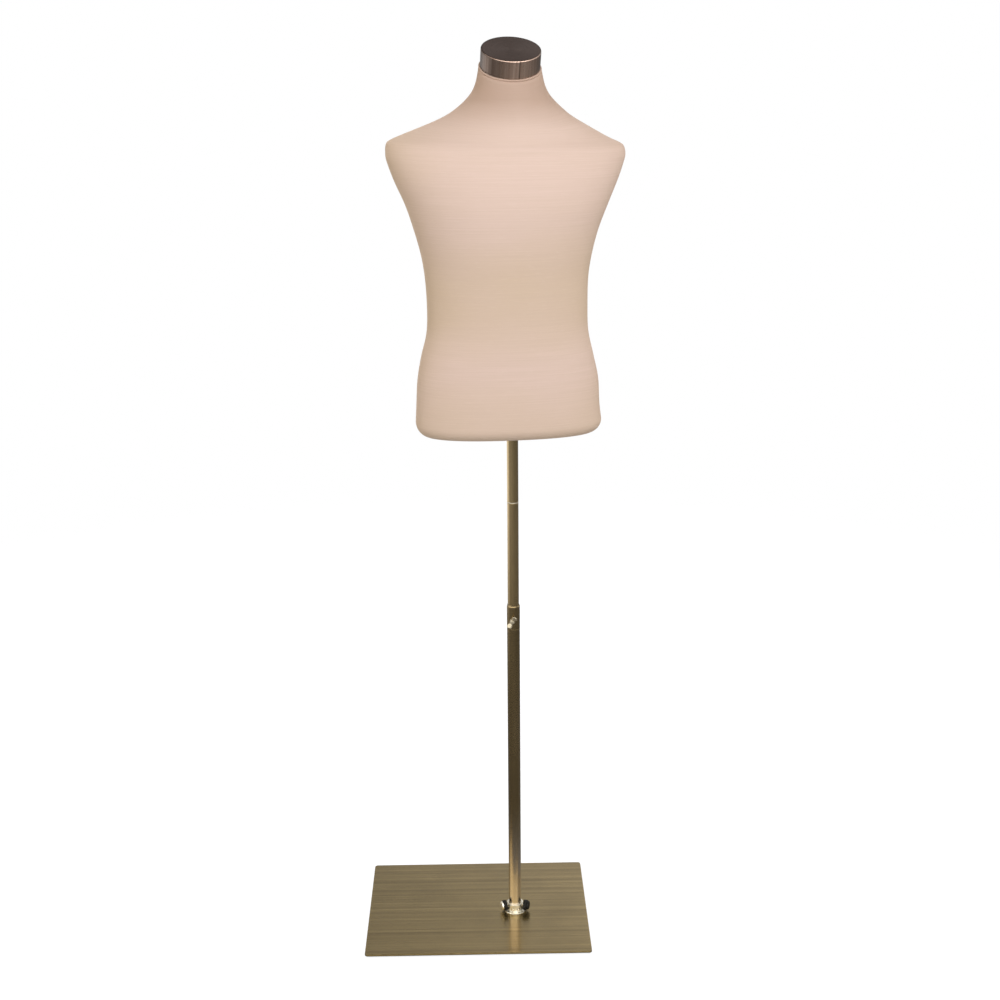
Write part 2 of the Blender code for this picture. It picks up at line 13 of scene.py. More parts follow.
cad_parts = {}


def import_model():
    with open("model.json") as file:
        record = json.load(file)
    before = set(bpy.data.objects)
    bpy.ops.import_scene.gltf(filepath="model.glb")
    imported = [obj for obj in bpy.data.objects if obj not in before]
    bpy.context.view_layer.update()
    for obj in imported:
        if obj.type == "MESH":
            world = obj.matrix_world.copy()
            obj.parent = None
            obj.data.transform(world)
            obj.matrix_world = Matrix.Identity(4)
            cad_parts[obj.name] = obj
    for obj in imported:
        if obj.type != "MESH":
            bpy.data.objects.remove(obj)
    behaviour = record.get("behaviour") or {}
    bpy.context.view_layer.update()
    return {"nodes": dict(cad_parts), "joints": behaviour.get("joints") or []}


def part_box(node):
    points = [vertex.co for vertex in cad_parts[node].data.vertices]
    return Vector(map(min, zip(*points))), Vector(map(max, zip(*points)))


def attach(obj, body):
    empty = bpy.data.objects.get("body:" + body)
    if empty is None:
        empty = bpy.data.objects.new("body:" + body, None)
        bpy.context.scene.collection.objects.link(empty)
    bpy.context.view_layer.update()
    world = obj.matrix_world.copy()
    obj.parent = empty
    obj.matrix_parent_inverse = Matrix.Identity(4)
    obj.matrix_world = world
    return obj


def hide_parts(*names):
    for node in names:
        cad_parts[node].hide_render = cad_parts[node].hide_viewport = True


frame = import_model()
nodes = frame["nodes"]
joints = {j["name"]: j for j in frame["joints"]}


def low(name):
    """The lowest x, y and z of a CAD node; high and middle are its highest and their mean."""
    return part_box(name)[0]


def high(name):
    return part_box(name)[1]


def middle(name):
    return (low(name) + high(name)) / 2


POLE_X, POLE_Y = middle("lower_pole").xy
UP = Vector((0.0, 0.0, 1.0))
GAP = 0.0003                                     # between faces that touch


# ---------------------------------------------------------------- camera

def camera():
    """54 mm lens, aimed slightly down at the front of the form."""
    pitch = radians(16.08)
    turn = radians(0.92)
    roll = radians(0.48)
    ahead = Vector((sin(turn) * cos(pitch), cos(turn) * cos(pitch), -sin(pitch)))
    right = ahead.cross(UP).normalized()
    above = right.cross(ahead)
    right, above = (right * cos(roll) - above * sin(roll), right * sin(roll) + above * cos(roll))
    data = bpy.data.cameras.new("camera")
    data.lens = 54.0
    data.sensor_width = 36.0
    data.clip_start = 0.05
    data.clip_end = 100.0
    made = bpy.data.objects.new("camera", data)
    bpy.context.collection.objects.link(made)
    matrix = Matrix((right, above, -ahead)).transposed().to_4x4()
    matrix.translation = Vector((POLE_X - 0.068, POLE_Y - 2.737, 1.672))
    made.matrix_world = matrix
    bpy.context.scene.camera = made


# ---------------------------------------------------------------- materials

class Nodes:
    """A node tree and short ways to add and join its nodes."""

    def __init__(self, tree):
        self.tree = tree

    def set(self, socket, value):
        """Links a socket to the input, or sets the input to a value."""
        if isinstance(value, bpy.types.NodeSocket):
            self.tree.links.new(value, socket)
        else:
            socket.default_value = value

    def add(self, kind, inputs=(), **settings):
        made = self.tree.nodes.new("ShaderNode" + kind)
        for key, value in settings.items():
            setattr(made, key, value)
        for key, value in dict(inputs).items():
            self.set(made.inputs[key], value)
        return made

    def maths(self, operation, a, b=0.0, clamp=False):
        return self.add("Math", {0: a, 1: b}, operation=operation, use_clamp=clamp).outputs[0]

    def place(self, scale=(1.0, 1.0, 1.0), uv=False):
        """Object or UV coordinates, in metres, stretched by scale."""
        source = self.add("UVMap").outputs[0] if uv else self.add("TexCoord").outputs["Object"]
        return self.add("Mapping", {"Vector": source, "Scale": scale}).outputs[0]

    def parts(self, vector):
        return self.add("SeparateXYZ", {0: vector}).outputs

    def noise(self, where, scale, detail=3.0, rough=0.5):
        made = self.add("TexNoise", {"Vector": where, "Scale": scale, "Detail": detail,
                                     "Roughness": rough})
        return made.outputs["Fac"]

    def between(self, value, lowest, highest, start=0.3, end=0.7, **settings):
        """value from start..end mapped to lowest..highest."""
        made = self.add("MapRange", {"Value": value, "From Min": start, "From Max": end,
                                     "To Min": lowest, "To Max": highest}, **settings)
        return made.outputs[0]

    def mix(self, factor, a, b):
        """Colour a where factor is 0, and b where it is 1."""
        made = self.add("Mix", data_type="RGBA")
        for index, value in ((0, factor), (6, a), (7, b)):
            self.set(made.inputs[index], (*value, 1.0) if isinstance(value, tuple) else value)
        return made.outputs[2]

    def bump(self, height, distance, strength, base=None):
        made = self.add("Bump", {"Height": height, "Distance": distance, "Strength": strength})
        if base is not None:
            self.tree.links.new(base, made.inputs["Normal"])
        return made.outputs[0]


class Shader(Nodes):
    """A material with the main shader, whose sockets are named with underscores."""

    def __init__(self, name, **sockets):
        self.material = bpy.data.materials.new(name)
        self.material.use_nodes = True
        super().__init__(self.material.node_tree)
        self.main = self.tree.nodes["Principled BSDF"]
        for key, value in sockets.items():
            self.main.inputs[key.replace("_", " ")].default_value = value

    def link(self, output, name):
        self.tree.links.new(output, self.main.inputs[name])


def jersey_material():
    """Knitted jersey: pink, with tan in broad clouds and as painted shade at the waist, on the left
    and low down, painted shade darkening the neck below the cap, a fine knit and sunk seams.
    """
    s = Shader("jersey", Roughness=0.85, Sheen_Weight=0.06, Sheen_Roughness=0.5,
               Specular_IOR_Level=0.22)
    s.main.inputs["Sheen Tint"].default_value = (0.86, 0.82, 0.80, 1.0)
    broad = s.noise(s.place((1, 1, 1.6)), 4.0, 2.0)
    # painted shade in tan at the waist, on the left and in the lower part, and tan in broad soft
    # clouds
    where = s.parts(s.place())
    off_waist = s.maths("ABSOLUTE", s.maths("SUBTRACT", where[2], WAIST))
    painted_shade_and_tan = s.maths("MAXIMUM", s.between(off_waist, 0.85, 0.0, 0.03, 0.14),
                     s.between(where[0], 0.75, 0.0, -0.17, -0.03))
    painted_shade_and_tan = s.maths("MAXIMUM", painted_shade_and_tan,
                     s.between(where[2], 0.75, 0.0, WAIST - 0.25, WAIST - 0.12))
    painted_shade_and_tan = s.maths("ADD", painted_shade_and_tan, s.between(broad, -0.25, 0.35, 0.3, 0.7), clamp=True)
    cloth = s.mix(painted_shade_and_tan, PINK, TAN_AND_PAINTED_SHADE)
    courses = s.noise(s.place((7, 420, 1), uv=True), 1.0, 2.0)
    cloth = s.mix(s.between(courses, 0.0, 0.42), cloth, COURSE_TONE)
    slubs = s.noise(s.place((60, 900, 1), uv=True), 1.0, 1.0)
    cloth = s.mix(s.between(slubs, 0.0, 0.18, 0.58, 0.72), cloth, SLUB_TONE)
    # painted shade below the cap: the neck darker towards its rim
    neck = s.between(where[2], 0.0, 0.85, *NECK_SHADE_SPAN)
    cloth = s.mix(neck, cloth, NECK_SHADE_TONE)
    # seams: distance to the nearest upright seam and to the edge of the under panel
    seams = s.parts(s.add("UVMap", uv_map="seams").outputs[0])
    away = s.maths("MINIMUM", seams[0], seams[1])
    line = s.between(away, 1.0, 0.0, 0.0003, 0.0011)
    valley_wide = s.between(away, 1.0, 0.0, 0.0, 0.0035)
    pucker = s.maths("MULTIPLY", s.between(away, 1.0, 0.0, 0.0005, 0.0070),
                     s.noise(s.place((230, 230, 230)), 1.0, 1.0))
    cloth = s.mix(s.maths("MULTIPLY", line, 0.45), cloth, SEAM_TONE)
    s.link(cloth, "Base Color")
    # plain knit: columns of V-shaped loops
    across, along = s.parts(s.place(uv=True))[:2]
    column = s.maths("PINGPONG", s.maths("DIVIDE", across, LOOP_WIDTH), 0.5)
    row = s.maths("DIVIDE", along, LOOP_HEIGHT)
    loops = s.maths("SINE", s.maths("MULTIPLY", s.maths("ADD", row, column), 2 * pi))
    valley = s.maths("POWER", s.maths("MULTIPLY", column, 2.0), 3.0)
    knit = s.maths("SUBTRACT", s.maths("MULTIPLY", loops, 0.35), valley)
    sunk = s.maths("ADD", s.maths("MULTIPLY", line, -0.6), s.maths("MULTIPLY", valley_wide, -0.4))
    sunk = s.maths("ADD", sunk, s.maths("MULTIPLY", pucker, 0.5))
    fine = s.bump(knit, 0.00012, 0.6, s.bump(sunk, 0.0008, 0.9))
    s.link(s.bump(courses, 0.0004, 0.25, fine), "Normal")
    s.link(s.between(courses, 0.80, 0.92), "Roughness")
    return s.material


def brushed(name, dark, light, rough, lines, grain, spin=0.25, radial=False, amount=0.6,
            lacquer=0.0, local=None):
    """Brushed plated metal.

    lines and grain are the scales of broad streaks and of fine hairlines, and local is a
    function that changes the tone in one place.
    """
    s = Shader(name, Metallic=1.0, Roughness=rough, Anisotropic=amount, Anisotropic_Rotation=spin,
               Coat_Weight=lacquer, Coat_Roughness=0.10, Coat_IOR=1.5)
    tangent = s.add("Tangent", direction_type="RADIAL" if radial else "UV_MAP")
    if radial:
        tangent.axis = "Z"
    s.link(tangent.outputs[0], "Tangent")
    streaks = s.noise(s.place(lines, uv=True), 1.0, 3.0, 0.6)
    hairs = s.noise(s.place(grain, uv=True), 1.0, 2.0, 0.6)
    patina = s.noise(s.place(), 9.0, 3.0)
    tone = s.mix(s.between(streaks, 0, 1), dark, light)
    shade = tuple(0.72 * c for c in dark)
    tone = s.mix(s.between(hairs, 0.0, 0.45, 0.45, 0.75), tone, shade)
    tone = s.mix(s.between(patina, 0.0, 0.30, 0.45, 0.75), tone, shade)
    s.link(local(s, tone) if local else tone, "Base Color")
    s.link(s.between(hairs, rough - 0.05, rough + 0.08), "Roughness")
    s.link(s.bump(hairs, 0.00003, 0.35), "Normal")
    return s.material


def painted_band_highlight(s, tone):
    """A painted highlight on the front of the cap's band with painted shade towards its sides, and
    a dark upright joint.
    """
    around = s.parts(s.add("UVMap").outputs[0])[0]
    # how far from it the change starts and ends, and the share of the tone at each
    for at, start, end, first, last in ((BAND_HIGHLIGHT_MIDDLE, 0.012, 0.055, 1.0, 0.16),
                                        (BAND_JOINT, 0.0005, 0.0014, 0.42, 1.0)):
        away = s.maths("ABSOLUTE", s.maths("SUBTRACT", around, at))
        level = s.between(away, first, last, start, end)
        tone = s.add("VectorMath", {0: tone, "Scale": level}, operation="SCALE").outputs[0]
    return tone


def painted_foot_reflection(s, tone):
    """A painted reflection of the plate: the pole paler towards the floor."""
    height = s.parts(s.add("TexCoord").outputs["Object"])[2]
    fade = s.between(height, 0.0, 1.0, FOOT_REFLECTION_TOP, 0.0, interpolation_type="SMOOTHSTEP")
    return s.mix(fade, tone, FOOT_REFLECTION_TONE)


def plain_metal(name, colour, rough, grain=180.0, tarnish=(0.5, 0.4, 0.25)):
    """Turned or plated metal with fine tool marks and slight tarnish."""
    s = Shader(name, Metallic=1.0, Roughness=rough)
    spots = s.noise(s.place(), grain, 4.0, 0.6)
    cloud = s.noise(s.place(), 40.0, 2.0)
    worn = tuple(c * t for c, t in zip(colour, (0.78, 0.74, 0.66)))
    spot = tuple(c * t for c, t in zip(colour, tarnish))
    tone = s.mix(s.between(cloud, 0.0, 0.6), colour, worn)
    tone = s.mix(s.between(spots, 0.0, 0.25, 0.6, 0.8), tone, spot)
    s.link(tone, "Base Color")
    s.link(s.between(spots, rough - 0.06, rough + 0.10), "Roughness")
    s.link(s.bump(spots, 0.00002, 0.4), "Normal")
    return s.material


def moulded(name, colour, rough):
    """Moulded plastic with a fine spark texture and small differences in tone."""
    s = Shader(name, Roughness=rough, Specular_IOR_Level=0.18)
    fine = s.noise(s.place(), 900.0, 2.0, 0.6)
    cloud = s.noise(s.place(), 60.0, 2.0)
    dark, light = (tuple(share * c for c in colour) for share in (0.82, 1.15))
    tone = s.mix(s.between(cloud, 0, 1), dark, light)
    s.link(tone, "Base Color")
    s.link(s.between(fine, rough - 0.08, rough + 0.08), "Roughness")
    s.link(s.bump(fine, 0.00002, 0.6), "Normal")
    return s.material


def fibreglass_material():
    """Resin over chopped strands: pale crossed fibres under a slightly uneven gloss."""
    s = Shader("fibreglass", Roughness=0.5)
    one = s.noise(s.place((120, 900, 300)), 1.0, 2.0)
    two = s.noise(s.place((800, 140, 260)), 1.0, 2.0)
    strands = s.maths("MAXIMUM", one, two)
    tone = s.mix(s.between(strands, 0, 1, 0.5, 0.7), (0.50, 0.42, 0.28), (0.70, 0.64, 0.50))
    tone = s.mix(s.between(s.noise(s.place(), 14.0), 0.0, 0.35), tone, (0.44, 0.33, 0.18))
    s.link(tone, "Base Color")
    s.link(s.bump(strands, 0.0004, 0.5), "Normal")
    return s.material


def board_material():
    """Fibreboard or turned wood: close grain along X with darker flecks."""
    s = Shader("board", Roughness=0.75, Specular_IOR_Level=0.3)
    grain = s.noise(s.place((30, 260, 260)), 1.0, 4.0, 0.65)
    fleck = s.noise(s.place((300, 1400, 1400)), 1.0, 2.0)
    tone = s.mix(s.between(grain, 0, 1, 0.35, 0.65), (0.34, 0.22, 0.12), (0.52, 0.37, 0.22))
    tone = s.mix(s.between(fleck, 0.0, 0.5, 0.55, 0.7), tone, (0.22, 0.13, 0.07))
    s.link(tone, "Base Color")
    s.link(s.bump(grain, 0.0003, 0.4), "Normal")
    return s.material


def felt_material():
    """Black wool felt with lighter fibres."""
    s = Shader("felt", Roughness=1.0, Specular_IOR_Level=0.1, Sheen_Weight=0.3)
    fibres = s.noise(s.place(), 1500.0, 4.0, 0.7)
    clumps = s.noise(s.place(), 160.0, 3.0)
    tone = s.mix(s.between(fibres, 0, 1), (0.018, 0.018, 0.018), (0.065, 0.063, 0.060))
    tone = s.mix(s.between(clumps, 0.0, 0.4), tone, (0.03, 0.03, 0.032))
    s.link(tone, "Base Color")
    s.link(s.bump(fibres, 0.0004, 0.7), "Normal")
    return s.material


HEM = low("fabric_cover").z
WAIST = HEM + 0.262
NECK_SHADE_SPAN = (HEM + 0.555, HEM + 0.605)           # where the painted shade on the neck starts and is full
PINK = (0.735, 0.565, 0.482)
# tan, and also the tone of the painted shade at the waist, on the left and low down
TAN_AND_PAINTED_SHADE = (0.685, 0.530, 0.400)
# the tone of the painted shade on the neck below the cap
NECK_SHADE_TONE = (0.495, 0.350, 0.270)
COURSE_TONE = (0.645, 0.492, 0.385)
SLUB_TONE = (0.81, 0.67, 0.58)
SEAM_TONE = (0.42, 0.30, 0.23)
LOOP_WIDTH = 0.0012
LOOP_HEIGHT = 0.0010
BAND_HIGHLIGHT_MIDDLE = 0.262                               # where the painted highlight on the cap's band is centred, along it
BAND_JOINT = 0.2585
# the painted reflection that pales the lower pole near the plate: the height where it ends, and its
# tone
FOOT_REFLECTION_TOP = 0.26
FOOT_REFLECTION_TONE = (0.57, 0.50, 0.41)

JERSEY = jersey_material()
POLE_METAL = brushed("pole_metal", (0.300, 0.212, 0.096), (0.385, 0.286, 0.140), 0.25,
                     (30, 4, 1), (500, 900, 1), radial=True, amount=0.5, lacquer=0.6)
# the lower pole, with a painted reflection near the floor
LOWER_METAL = brushed("lower_pole_metal", (0.190, 0.132, 0.056), (0.250, 0.180, 0.084), 0.24,
                      (30, 4, 1), (500, 900, 1), radial=True, amount=0.5, lacquer=0.5,
                      local=painted_foot_reflection)
PLATE_METAL = brushed("plate_metal", (0.190, 0.136, 0.052), (0.350, 0.260, 0.112), 0.30,
                      (0.10, 80, 1), (3, 900, 1), amount=0.85, lacquer=0.28)
# the cap's band, with a painted highlight at its front and painted shade at its sides
BAND_METAL = brushed("cap_band_metal", (0.520, 0.345, 0.260), (0.960, 0.730, 0.610), 0.30,
                     (140, 3, 1), (1300, 12, 1), spin=0.0, radial=True, local=painted_band_highlight)
TOP_METAL = brushed("cap_top_metal", (0.072, 0.033, 0.019), (0.094, 0.047, 0.030), 0.32,
                    (8, 160, 1), (20, 1300, 1), amount=0.5)
BRIGHT = plain_metal("bright_brass", (0.84, 0.78, 0.65), 0.24)
CAST = plain_metal("cast_brass", (0.46, 0.41, 0.31), 0.58, 300.0)
COLLAR = plain_metal("collar_brass", (0.80, 0.77, 0.68), 0.42)
STEEL = plain_metal("zinc_steel", (0.55, 0.55, 0.56), 0.34, 260.0, (0.6, 0.6, 0.62))
BLACK = moulded("black_plastic", (0.0075, 0.0065, 0.0050), 0.60)
NYLON = moulded("nylon", (0.72, 0.72, 0.68), 0.45)
FIBREGLASS = fibreglass_material()
BOARD = board_material()
FELT = felt_material()


# ---------------------------------------------------------------- mesh helpers

HELD_NEAR = 0.0002                               # how near a corner its support points are
CORNER_STEPS = 3                                 # to each rounded corner


def mesh_piece(name, verts, faces, uvs, metal, sharp=35):
    """A shaded mesh object; uvs holds one (u, v) for each face corner, in metres."""
    mesh = bpy.data.meshes.new(name)
    mesh.from_pydata([tuple(v) for v in verts], [], faces)
    layer = mesh.uv_layers.new(name="UVMap")
    flat = [value for face in uvs for corner in face for value in corner]
    layer.data.foreach_set("uv", flat)
    mesh.shade_smooth()
    mesh.set_sharp_from_angle(angle=radians(sharp))
    mesh.materials.append(metal)
    made = bpy.data.objects.new(name, mesh)
    bpy.context.collection.objects.link(made)
    return made


def outward(piece):
    """Turns the normals of a closed piece outwards."""
    work = bmesh.new()
    work.from_mesh(piece.data)
    bmesh.ops.recalc_face_normals(work, faces=work.faces)
    work.to_mesh(piece.data)
    work.free()
    return piece


def joined_rings(rings, count, closed=False):
    """Faces that join rings of count points each; closed joins the last ring to the first."""
    return [(a * count + k, a * count + (k + 1) % count,
             (a + 1) % rings * count + (k + 1) % count, (a + 1) % rings * count + k)
            for a in range(rings if closed else rings - 1) for k in range(count)]


def held(points):
    """The points with one more near each end of every long step, so its shading stays flat."""
    made = [points[0]]
    for a, b in zip(points, points[1:]):
        span = Vector(b) - Vector(a)
        if span.length > 6 * HELD_NEAR:
            reach = span.normalized() * HELD_NEAR
            made += [tuple(Vector(a) + reach), tuple(Vector(b) - reach)]
        made.append(b)
    return made


def lathe(name, profile, metal, sides=96, place=None, sharp=35):
    """(radius, height) points turned about Z.  A profile with no point on the axis is a ring."""
    place = place or Matrix.Identity(4)
    ring_closed = min(r for r, h in profile) > 0
    points = held(list(profile) + [profile[0]] if ring_closed else list(profile))
    travel = [0.0]
    for (r0, h0), (r1, h1) in zip(points, points[1:]):
        travel.append(travel[-1] + hypot(r1 - r0, h1 - h0))
    verts = []
    rings = []
    for index, (r, h) in enumerate(points):
        if ring_closed and index == len(points) - 1:
            rings.append(rings[0])
            continue
        count = sides if r > 0 else 1
        rings.append([len(verts) + k for k in range(count)])
        for k in range(count):
            angle = 2 * pi * k / sides
            verts.append(place @ Vector((r * cos(angle), r * sin(angle), h)))
    girth = 2 * pi * max(r for r, h in profile)
    faces = []
    uvs = []
    for a in range(len(points) - 1):
        lower, upper = rings[a], rings[a + 1]
        for k in range(sides):
            n = k + 1
            corners = [(lower[k % len(lower)], k, a), (lower[n % len(lower)], n, a),
                       (upper[n % len(upper)], n, a + 1), (upper[k % len(upper)], k, a + 1)]
            used = []
            for corner in corners:
                if corner[0] not in [u[0] for u in used]:
                    used.append(corner)
            if len(used) > 2:
                faces.append([u[0] for u in used])
                uvs.append([(u[1] / sides * girth, travel[u[2]]) for u in used])
    return outward(mesh_piece(name, verts, faces, uvs, metal, sharp))


def rounded(profile, radius):
    """The profile with each corner away from the axis replaced by a small arc."""
    made = []
    count = len(profile)
    for index, point in enumerate(profile):
        before = Vector(profile[index - 1])
        after = Vector(profile[(index + 1) % count])
        here = Vector(point)
        on_axis = here.x <= 0 or (before.x <= 0 and here.x <= 0)
        reach = min(radius, (before - here).length * 0.4, (after - here).length * 0.4)
        if on_axis or reach < 1e-6:
            made.append(tuple(here))
            continue
        start = here + (before - here).normalized() * reach
        end = here + (after - here).normalized() * reach
        for step in range(CORNER_STEPS + 1):
            t = step / CORNER_STEPS
            made.append(tuple((1 - t) ** 2 * start + 2 * t * (1 - t) * here + t * t * end))
    return made


def combined(piece, tools, operation):
    """The piece with the tools joined on or cut away."""
    for tool in tools:
        step = piece.modifiers.new("step", 'BOOLEAN')
        step.operation = operation
        step.solver = 'EXACT'
        step.object = tool
    return applied(piece, tools)


def applied(piece, tools=()):
    """The piece with its modifiers made real, and the tools removed."""
    bpy.context.view_layer.update()
    graph = bpy.context.evaluated_depsgraph_get()
    piece.data = bpy.data.meshes.new_from_object(piece.evaluated_get(graph))
    piece.modifiers.clear()
    for tool in tools:
        bpy.data.objects.remove(tool, do_unlink=True)
    return piece


def settle(piece, body, slot, *stands_for):
    """Gives the piece its body and hides the CAD nodes it stands for; slot is not used."""
    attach(piece, body)
    if stands_for:
        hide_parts(*stands_for)
    return piece


def facing(axis, origin):
    """A frame at origin: its +Z points along the level axis and its +X stays level."""
    level = axis.cross(UP).normalized() * -1
    matrix = Matrix((level, axis.cross(level), axis)).transposed().to_4x4()
    matrix.translation = origin
    return matrix


def sideways(joint):
    """A frame on a screw's axis, facing outwards."""
    return facing(Vector(joints[joint]["axis"]).normalized(), Vector(joints[joint]["pos_m"]))


def along_pole():
    return Matrix.Translation((POLE_X, POLE_Y, 0.0))


# ---------------------------------------------------------------- jersey cover

# The form from its lower edge to the neck's rim: height over the underside, half width, front
# depth, back depth, middle x, middle y, forward tilt and drop to the right in degrees, squareness
SECTIONS = (
    (0.0250, 0.1740, 0.085, 0.123, -0.0060, 0.001, 0.0, 0.2, 2.35),
    (0.0580, 0.1710, 0.087, 0.121, -0.0070, 0.001, 0.0, 0.4, 2.35),
    (0.1040, 0.1682, 0.087, 0.115, -0.0070, 0.000, 0.0, 0.3, 2.30),
    (0.1490, 0.1594, 0.087, 0.105, -0.0080, 0.000, 0.0, 0.1, 2.25),
    (0.1920, 0.1494, 0.088, 0.097, -0.0075, 0.000, 0.0, 0.0, 2.20),
    (0.2380, 0.1474, 0.093, 0.094, -0.0075, 0.000, 0.0, 0.0, 2.20),
    (0.2930, 0.1492, 0.101, 0.097, -0.0085, 0.000, 0.0, 0.1, 2.20),
    (0.3360, 0.1557, 0.110, 0.102, -0.0085, 0.001, 0.0, 0.1, 2.25),
    (0.3800, 0.1674, 0.118, 0.108, -0.0085, 0.003, 0.0, 0.2, 2.30),
    (0.4220, 0.1825, 0.123, 0.111, -0.0070, 0.006, 0.0, 0.3, 2.35),
    (0.4650, 0.2015, 0.1215, 0.111, -0.0070, 0.010, 0.0, 0.4, 2.30),
    (0.4980, 0.2138, 0.1165, 0.108, -0.0065, 0.013, 0.0, 0.6, 2.15),
    (0.5120, 0.2162, 0.1115, 0.105, -0.0060, 0.013, 0.5, 0.8, 2.05),
    (0.5250, 0.2144, 0.1065, 0.102, -0.0065, 0.013, 1.0, 1.1, 1.93),
    (0.5320, 0.2072, 0.1035, 0.100, -0.0065, 0.013, 2.0, 1.3, 1.85),
    (0.5450, 0.1772, 0.0975, 0.096, -0.0050, 0.012, 4.0, 1.4, 1.72),
    (0.5710, 0.1214, 0.0880, 0.089, -0.0015, 0.011, 8.0, 0.5, 1.62),
    (0.5890, 0.0940, 0.079, 0.081, 0.0010, 0.008, 12.0, 0.5, 1.65),
    (0.6095, 0.0722, 0.069, 0.070, 0.0010, 0.004, 16.5, 0.4, 1.80),
    (0.6305, 0.0612, 0.061, 0.062, 0.0000, -0.001, 20.5, 0.2, 1.93),
    (0.6595, 0.0550, 0.0550, 0.0550, -0.0010, -0.006, 24.5, 0.0, 2.00),
)
NECK_MIDDLE = Vector((SECTIONS[-1][4], SECTIONS[-1][5], SECTIONS[-1][0]))
NECK_TILT = radians(SECTIONS[-1][6])
UNDERSIDE = HEM + 0.0005                         # its right edge hangs half a millimetre lower
FORM_TURN = radians(7)
ROUNDING = 0.025                                 # of the lower edge
HOLE_RADIUS = 0.019                              # for the pole
AROUND = 144                                     # points to a ring
ROWS_BETWEEN = 5                                 # from one section to the next
COVER_THICK = 0.0012
SIDE_SEAM = 3                                    # steps behind the widest point
# the cloth rolled over the neck's rim: towards its middle, and up along its axis
NECK_ROLL = ((0.0000, -0.0030), (-0.0006, -0.0020), (-0.0008, -0.0010), (-0.0004, -0.0001),
             (0.0006, 0.0004), (0.0016, 0.0004), (0.0026, 0.0000), (0.0030, -0.0012),
             (0.0031, -0.006))


def form_place():
    """The form's own frame: the pole axis, turned, with its lowest point at zero."""
    return Matrix.Translation((POLE_X, POLE_Y, UNDERSIDE)) @ Matrix.Rotation(FORM_TURN, 4, 'Z')


def smooth_rows():
    """The sections with Catmull-Rom rows between them."""
    rows = []
    last = len(SECTIONS) - 1
    for index in range(last):
        a = SECTIONS[max(index - 1, 0)]
        b = SECTIONS[index]
        c = SECTIONS[index + 1]
        d = SECTIONS[min(index + 2, last)]
        for step in range(ROWS_BETWEEN):
            t = step / ROWS_BETWEEN
            rows.append([0.5 * (2 * q + (r - p) * t + (2 * p - 5 * q + 4 * r - s) * t ** 2
                                + (3 * q - p - 3 * r + s) * t ** 3)
                         for p, q, r, s in zip(a, b, c, d)])
    rows.append(list(SECTIONS[last]))
    return rows


def section_ring(row, inset=0.0, height=None):
    """One section's outline: a squared oval, deeper on one side and tilted forwards."""
    level, half, front, back, middle_x, middle_y, tilt, drop, square = row
    if height is not None:
        level = height
    lean = radians(tilt)
    ring = []
    for step in range(AROUND):
        angle = 2 * pi * step / AROUND
        x = (half - inset) * abs(cos(angle)) ** (2 / square)
        y = ((back if sin(angle) > 0 else front) - inset) * abs(sin(angle)) ** (2 / square)
        x = x if cos(angle) > 0 else -x
        y = y if sin(angle) > 0 else -y
        rise = y * sin(lean) - x * tan(radians(drop))
        ring.append(Vector((middle_x + x, middle_y + y * cos(lean), level + rise)))
    return ring


def seam_distances(grid, along, edge_level):
    """Each point's distance from the nearest upright seam and from the under panel's edge."""
    seams = (SIDE_SEAM, AROUND // 4, AROUND // 2 - SIDE_SEAM)
    made = []
    for level, ring in enumerate(grid):
        travel = [0.0]
        for k in range(1, AROUND):
            travel.append(travel[-1] + (ring[k] - ring[k - 1]).length)
        girth = travel[-1] + (ring[0] - ring[-1]).length
        row = []
        for k in range(AROUND):
            gaps = [abs(travel[k] - travel[seam]) for seam in seams]
            upright = min(min(gap, girth - gap) for gap in gaps)
            if level < edge_level:
                upright = 1.0
            row.append((upright, abs(along[level][k] - along[edge_level][k])))
        made.append(row)
    return made


